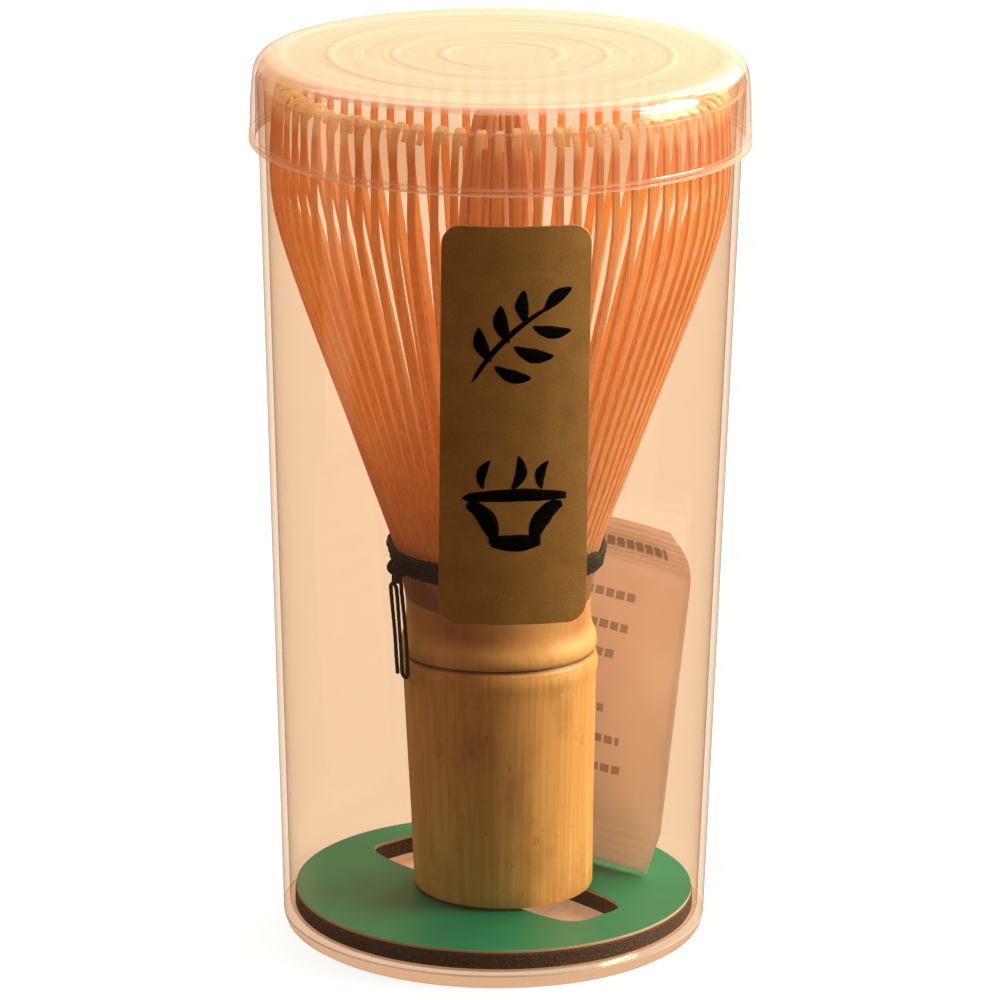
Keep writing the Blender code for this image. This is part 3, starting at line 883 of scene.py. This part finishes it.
def whisk_handle(material):
    """The culm: open foot, node ring with its scar line, and the scraped waist that the tines rise from."""
    outer = [
        (11.45, 5.5),
        (11.8, 5.62),
        (11.92, 6.0),
        (12.0, 9.0),
        (12.15, 16.0),
        (12.4, 23.0),
        (12.62, 29.5),
        (12.72, 33.0),
        (12.8, 34.9),
        (13.0, 35.9),
        (13.08, 36.5),
        (12.98, 37.1),
        (12.86, 37.6),
        (12.78, 37.95),
        (12.42, 38.2),
        (12.4, 38.35),
        (12.75, 38.6),
        (12.95, 39.1),
        (12.92, 39.9),
        (12.7, 40.7),
        (12.42, 41.5),
        (12.24, 42.6),
        (12.18, 44.0),
        (12.26, 45.4),
        (12.2, 45.9),
        (11.9, 46.0),
        (8.6, 46.0),
        (8.3, 45.7),
        (8.2, 43.4),
        (0.0, 43.0),
    ]
    bore = [(0.0, 35.5), (8.5, 35.5), (8.6, 20.0), (8.7, 6.2), (9.0, 5.55)]
    line = []
    for (r0, z0), (r1, z1) in zip(bore + outer, (bore + outer)[1:]):
        pieces = max(1, round(abs(z1 - z0) / 1.2)) if r0 > 0.0 and r1 > 0.0 else 6
        line += [(r0 + (r1 - r0) * i / pieces, z0 + (z1 - z0) * i / pieces) for i in range(pieces)]
    line.append(outer[-1])
    bm = spun(line, 160)
    bmesh.ops.remove_doubles(bm, verts=bm.verts[:], dist=0.0005)
    growth = bm.verts.layers.float.new("growth_height")
    for v in bm.verts:
        v[growth] = v.co.z
        turn = math.atan2(v.co.y, v.co.x)
        near_node = math.exp(-(((v.co.z - 38.3) / 3.2) ** 2))
        v.co.z += near_node * (0.30 * math.sin(turn + 2.4) + 0.12 * math.sin(3.0 * turn + 0.6))
        oval = 1.0 + 0.004 * math.sin(2.0 * turn + 0.8) + 0.0025 * math.sin(5.0 * turn + 1.9)
        v.co.x *= oval
        v.co.y *= oval
        v.co = lean(v.co)
    return keep("bamboo_handle", bm, material, "whisk", "bamboo_skin", "whisk_handle", smooth=50.0)


def tine_path(points, per_span):
    """(radius, height, width, thickness) at every section of a tine, smoothed between the given ones."""
    rows = [Vector(p) for p in points]
    return smooth_route(rows, per_span)


def curled_tip(centre, radius, sweep, shrink, steps, width, thickness):
    """Sections of a tip that curls inwards over a circle."""
    made = []
    for i in range(1, steps + 1):
        turn = math.radians(sweep) * i / steps
        reach = radius * (1.0 - shrink * i / steps)
        fade = 1.0 - 0.25 * i / steps
        x = centre[0] + reach * math.cos(turn)
        z = centre[1] + reach * math.sin(turn)
        made.append(Vector((x, z, width * fade, thickness * fade)))
    return made


def tine_sections(path, turn, drift, sway, rise, yaw):
    """Centre, outward, sideways and half sizes at each section of one tine."""
    last = len(path) - 1
    centres = []
    for i, (radius, z, _, _) in enumerate(path):
        t = i / last
        ripple = 0.010 * max(0.0, t - 0.35) * math.sin(z * 0.62 + sway * 40.0)
        angle = turn + drift * t * t + ripple * (0.4 + abs(sway))
        reach = radius + 0.35 * sway * t * t * (1.0 - t) * 4.0
        centres.append(
            Vector((reach * math.cos(angle), reach * math.sin(angle), z + rise * t**3))
        )
    sections = []
    for i, centre in enumerate(centres):
        along = (centres[min(i + 1, last)] - centres[max(i - 1, 0)]).normalized()
        heading = math.atan2(centre.y, centre.x) + yaw * max(0.0, i / last - 0.6)
        aside = Vector((-math.sin(heading), math.cos(heading), 0.0))
        aside = (aside - along * aside.dot(along)).normalized()
        outward = aside.cross(along).normalized()
        width, thickness = path[i][2], path[i][3]
        sections.append((centre - outward * 0.5 * thickness, outward, aside, width, thickness))
    return sections


OUTER_COUNT = 70
INNER_COUNT = 64


def comb(name, starts, side_of, material, slot, node):
    """Every tine of one ring, drawn up together section by section."""
    bm = bmesh.new()
    side_layer = bm.faces.layers.float.new("cut_side")
    tips = []
    for sections in starts:
        centre, outward, aside, width, thickness = sections[0]
        corners = bmesh.ops.create_grid(bm, x_segments=1, y_segments=1, size=0.5)["verts"]
        for v in corners:
            a, b = (1.0 if v.co.x > 0 else -1.0), (1.0 if v.co.y > 0 else -1.0)
            v.co = centre + aside * (a * 0.5 * width) + outward * (b * 0.5 * thickness)
        tips.append((corners[0].link_faces[0], sections))
    for i in range(1, len(starts[0])):
        faces = [face for face, _ in tips]
        grown = bmesh.ops.extrude_face_region(bm, geom=faces)["geom"]
        bmesh.ops.delete(bm, geom=[f for f in faces if f.is_valid and i > 1], context="FACES_ONLY")
        fresh = [g for g in grown if isinstance(g, bmesh.types.BMFace)]
        middles = {f: f.calc_center_median() for f in fresh}
        paired = []
        for _, sections in tips:
            where = sections[i - 1][0]
            nearest = min(fresh, key=lambda f: (middles[f] - where).length_squared)
            fresh.remove(nearest)
            old, out, side = sections[i - 1][0], sections[i - 1][1], sections[i - 1][2]
            centre, outward, aside, width, thickness = sections[i]
            for v in nearest.verts:
                offset = v.co - old
                a = 0.5 if offset.dot(side) > 0.0 else -0.5
                b = 0.5 if offset.dot(out) > 0.0 else -0.5
                v.co = centre + aside * (a * width) + outward * (b * thickness)
            paired.append((nearest, sections))
        tips = paired
    bm.faces.ensure_lookup_table()
    bmesh.ops.recalc_face_normals(bm, faces=bm.faces[:])
    for face in bm.faces:
        face.normal_update()
        middle = face.calc_center_median()
        radial = Vector((middle.x, middle.y, 0.0)).normalized()
        face[side_layer] = 1.0 if face.normal.dot(radial) < side_of and middle.z < 112.5 else 0.0
    for v in bm.verts:
        v.co = lean(v.co)
    made = keep(name, bm, material, "whisk", slot, node, smooth=60.0)
    soften(made, 0.11, 2)
    return made


def outer_tines(material):
    """Seventy outer tines: close together at the waist, splayed in a cone, hooked over at the top."""
    random.seed(11)
    root = [
        (12.10, 44.6, 1.04, 1.55),
        (12.36, 46.4, 1.04, 1.50),
        (13.10, 50.0, 1.07, 1.25),
        (14.05, 54.0, 1.10, 1.10),
        (16.95, 62.0, 1.16, 0.98),
        (20.15, 71.0, 1.20, 0.88),
        (23.85, 81.0, 1.18, 0.78),
        (27.35, 91.0, 1.14, 0.66),
        (29.30, 98.0, 1.08, 0.58),
        (29.88, 103.5, 1.02, 0.52),
        (29.75, 108.5, 0.98, 0.48),
        (29.55, 112.4, 0.94, 0.44),
    ]
    starts = []
    for i in range(OUTER_COUNT):
        path = tine_path(root, 2)
        radius = 2.05 + 0.25 * (random.random() - 0.5)
        centre = (29.5 - radius, 112.9)
        path += curled_tip(centre, radius, 222.0 + 26.0 * (random.random() - 0.5), 0.28, 11, 1.04, 0.44)
        drift = TURN / OUTER_COUNT * 0.34 * (random.random() - 0.5) * 2.0
        sway = random.random() - 0.5
        rise = 0.7 * (random.random() - 0.6)
        yaw = 2.4 * (random.random() - 0.35)
        starts.append(tine_sections(path, TURN * (i + 0.5) / OUTER_COUNT, drift, sway, rise, yaw))
    return comb("splayed_outer_tines", starts, 0.25, material, "split_bamboo", "outer_tines")


def inner_tines(material):
    """The inner tines, gathered from their ring to a loose bundle on the axis."""
    random.seed(23)
    starts = []
    for i in range(INNER_COUNT):
        spread = math.sqrt((((i * 29) % INNER_COUNT) + 0.5) / INNER_COUNT)
        end = 0.7 + 2.75 * spread
        mid = end + 1.9
        path = tine_path(
            [
                (9.75, 44.2, 0.80, 1.30),
                (9.70, 46.5, 0.80, 1.25),
                (9.15, 54.0, 0.80, 1.05),
                (8.10 - 0.4 * (1 - spread), 68.0, 0.74, 0.85),
                (0.5 * (7.2 + mid) - 0.2, 84.0, 0.66, 0.72),
                (mid, 99.0, 0.58, 0.60),
                (0.5 * (mid + end) + 0.1, 106.0, 0.52, 0.52),
                (end, 111.0 + 0.9 * random.random(), 0.46, 0.42),
            ],
            4,
        )
        drift = 0.5 * (random.random() - 0.5)
        starts.append(
            tine_sections(
                path,
                TURN * (i + 0.5 * (i % 2)) / INNER_COUNT,
                drift,
                random.random() - 0.5,
                0.6 * (random.random() - 0.6),
                0.4 * (random.random() - 0.5),
            )
        )
    return comb("gathered_inner_tines", starts, 0.25, material, "inner_bamboo", "inner_tines")


# ---------------------------------------------------------------- thread


def winding_route():
    """Three and a third turns round the waist, each lying on the one below."""
    points = []
    turns, per_turn = 3.35, 96
    for i in range(int(turns * per_turn) + 1):
        t = i / per_turn
        turn = KNOT_TURN + TURN * t
        z = 50.45 + 0.78 * t + 0.05 * math.sin(7.0 * turn)
        radius = 13.68 + 0.24 * (z - 50.45) + 0.05 * math.sin(OUTER_COUNT * turn)
        points.append(lean(Vector((radius * math.cos(turn), radius * math.sin(turn), z))) * MM)
    return points


def weave_route():
    """The thread's hidden course between outer and inner tines, rising and falling round the whisk."""
    points = []
    for i in range(241):
        turn = KNOT_TURN + TURN * 1.5 * i / 240.0
        z = 52.0 + 0.9 * math.sin(12.0 * turn)
        radius = 10.9 + 0.35 * math.sin(24.0 * turn)
        points.append(lean(Vector((radius * math.cos(turn), radius * math.sin(turn), z))) * MM)
    return points


def knot_route():
    """An overhand knot pulled tight against the winding."""
    points = []
    for i in range(73):
        t = TURN * i / 72.0
        x = math.sin(t) + 2.0 * math.sin(2.0 * t)
        z = math.cos(t) - 2.0 * math.cos(2.0 * t)
        y = -math.sin(3.0 * t)
        points.append(beside_knot(KNOT_DISTANCE - 0.2 + 0.42 * y, 0.6 + 0.5 * x, KNOT_Z + 0.46 * z))
    return [lean(p) * MM for p in points]


def drop_route(*points):
    """A short straight run of thread coming down out of the knot."""
    return smooth_route([lean(beside_knot(*point)) * MM for point in points], 4)


def fixed_thread(name, route, section, material, *nodes):
    """A length of thread that stays with the whisk."""
    made, _ = thread_line(name, route, section, THREAD_LAY)
    made.data.materials.append(material)
    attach(made, "whisk")
    if nodes:
        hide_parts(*nodes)
    return made


# ---------------------------------------------------------------- stage


def floor():
    """A wide pale floor, plain and matt."""
    bm = bmesh.new()
    bmesh.ops.create_grid(bm, x_segments=1, y_segments=1, size=6.0)
    mesh = bpy.data.meshes.new("pale_floor")
    bm.to_mesh(mesh)
    bm.free()
    made, tree = blank("pale_floor")
    matt = add(tree, "ShaderNodeBsdfDiffuse", {"Color": grey(0.13)}).outputs[0]
    glow = add(tree, "ShaderNodeEmission", {"Color": (1.0, 0.995, 0.985, 1.0), "Strength": 0.9})
    surface(tree, add(tree, "ShaderNodeAddShader", {0: matt, 1: glow.outputs[0]}).outputs[0])
    mesh.materials.append(made)
    obj = bpy.data.objects.new("pale_floor", mesh)
    bpy.context.scene.collection.objects.link(obj)
    obj.visible_diffuse = False
    obj.visible_glossy = False


def softbox(name, azimuth, elevation, distance, size, power, colour):
    """A soft rectangular light aimed at the whisk; azimuth 0 is in front, positive to the right."""
    data = bpy.data.lights.new(name, "AREA")
    data.shape = "RECTANGLE"
    data.size, data.size_y = size
    data.energy = power
    data.color = colour
    made = bpy.data.objects.new(name, data)
    bpy.context.scene.collection.objects.link(made)
    a, e = math.radians(azimuth - VIEW_TURN), math.radians(elevation)
    aim = Vector((0.0, 0.0, 0.06))
    back = Vector((math.sin(a) * math.cos(e), -math.cos(a) * math.cos(e), math.sin(e)))
    made.location = aim + back * distance
    made.rotation_euler = back.to_track_quat("Z", "Y").to_euler()
    made.visible_camera = False
    return made


def world():
    """White seen directly; a dim warm room for what it lights and what it is mirrored in."""
    made = bpy.data.worlds.new("studio")
    bpy.context.scene.world = made
    made.use_nodes = True
    tree = made.node_tree
    tree.nodes.clear()
    seen = add(tree, "ShaderNodeLightPath").outputs["Is Camera Ray"]
    room = add(tree, "ShaderNodeBackground", {"Color": (1.0, 0.70, 0.46, 1.0), "Strength": 0.16})
    white = add(tree, "ShaderNodeBackground", {"Color": (1.0, 1.0, 1.0, 1.0), "Strength": 1.0})
    both = add(
        tree, "ShaderNodeMixShader", {0: seen, 1: room.outputs[0], 2: white.outputs[0]}
    ).outputs[0]
    out = add(tree, "ShaderNodeOutputWorld")
    tree.links.new(both, out.inputs["Surface"])


# ---------------------------------------------------------------- making


def main():
    """Makes every piece, then the lights."""
    thread = cotton_thread()
    thread_end.data.materials.append(thread)
    # On the tube, the band at the rim is haze; the milky band over the floor is painted reflection, the
    # bright streaks seen through the pad's slot.
    tube_plastic = clear_styrene(
        "clear_styrene_tube", srgb("FBF1E6"), srgb("C9A894"), [(0.1145, 0.1151, 0.3), (0.0021, 0.0024, 0.8)]
    )
    lid_plastic = clear_styrene(
        "clear_styrene_lid",
        srgb("FBF1E8"),
        srgb("C4A39A"),
        [
            (0.11815, 0.1187, 0.72),
            # Painted highlight: the milky shoulder band stands in for the bright crescent along the lid's
            # shoulder.
            (0.1174, 0.11815, 0.5),
            # Painted highlight: these two thin milky bands at the skirt's rim make its bright double rim
            # line.
            (0.1071, 0.1074, 0.55),
            (0.1078, 0.1081, 0.45),
            (0.1081, 0.1162, 0.055),
        ],
    )
    case_tube(tube_plastic)
    case_lid(lid_plastic)
    slotted_disc(
        "green_card_face", 26.5, 4.8, 5.2, 0.06, green_card(), "green_card", "base_card_face"
    )
    foam = slotted_disc(
        "black_foam_disc", 26.6, 2.6, 4.78, 0.2, black_foam(), "black_foam", "base_foam_disc"
    )
    label(gold_label_paper())
    ink = brush_ink()
    ink_motif("leaf_spray_motif", LEAF_SPRAY, (0.3, 88.6), ink)
    ink_motif("bowl_motif", BOWL_AND_STEAM, (0.0, 66.6), ink)
    sachet(sachet_paper(PRINTED_ROWS))
    whisk_handle(bamboo_skin())
    outer = split_bamboo(
        "split_bamboo_outer", ("FBD9A4", "FFEDC8"), "E8B078", "FFFBE4", 0.1104, 0.1126
    )
    # Painted light: the inner tines take a paler, lit copy of the bamboo colours, brightened to make up for
    # the shade inside the ring of outer tines.
    inner = split_bamboo(
        "split_bamboo_inner_lit_copy", ("FFEEDA", "FFF6EA"), "F8D2AE", "FFEFD2", 0.109, 0.1135
    )
    outer_tines(outer)
    inner_tines(inner)
    fixed_thread("thread_winding_turns", winding_route(), STRAND, thread, "thread_winding")
    fixed_thread("thread_between_tines", weave_route(), STRAND, thread)
    fixed_thread("thread_overhand_knot", knot_route(), KNOT_STRAND, thread, "thread_knot")
    loose_end = drop_route((15.55, 0.9, 51.0), (15.6, 1.35, 50.1), (15.6, 1.5, 49.5), (15.6, 1.5, 48.9))
    loop_top = drop_route((15.55, -0.3, 51.0), (15.5, -0.6, 50.2), (15.45, -0.75, 49.6), (15.45, -0.75, 49.1))
    fixed_thread("thread_above_loose_end", loose_end, THIN_STRAND, thread)
    fixed_thread("thread_above_loop", loop_top, THIN_STRAND, thread)
    for section in (STRAND, KNOT_STRAND, THIN_STRAND):
        bpy.data.objects.remove(section, do_unlink=True)
    floor()
    world()
    softbox("key_right", 88.0, 26.0, 0.95, (0.5, 0.6), 18.5, (1.0, 0.95, 0.86))
    softbox("back_right", 142.0, 30.0, 1.0, (0.7, 0.6), 12.0, (1.0, 0.92, 0.80))
    softbox("strip_left", -84.0, 10.0, 1.0, (0.34, 0.9), 1.3, (1.0, 0.66, 0.42))
    softbox("overhead", 178.0, 62.0, 0.8, (1.5, 0.34), 7.6, (1.0, 0.92, 0.80))
    softbox("back_card", 180.0, 17.0, 0.9, (1.1, 0.35), 0.8, (1.0, 0.74, 0.50))
    bpy.context.scene.view_settings.view_transform = "Standard"
    bpy.context.scene.cycles.transparent_max_bounces = 24


main()
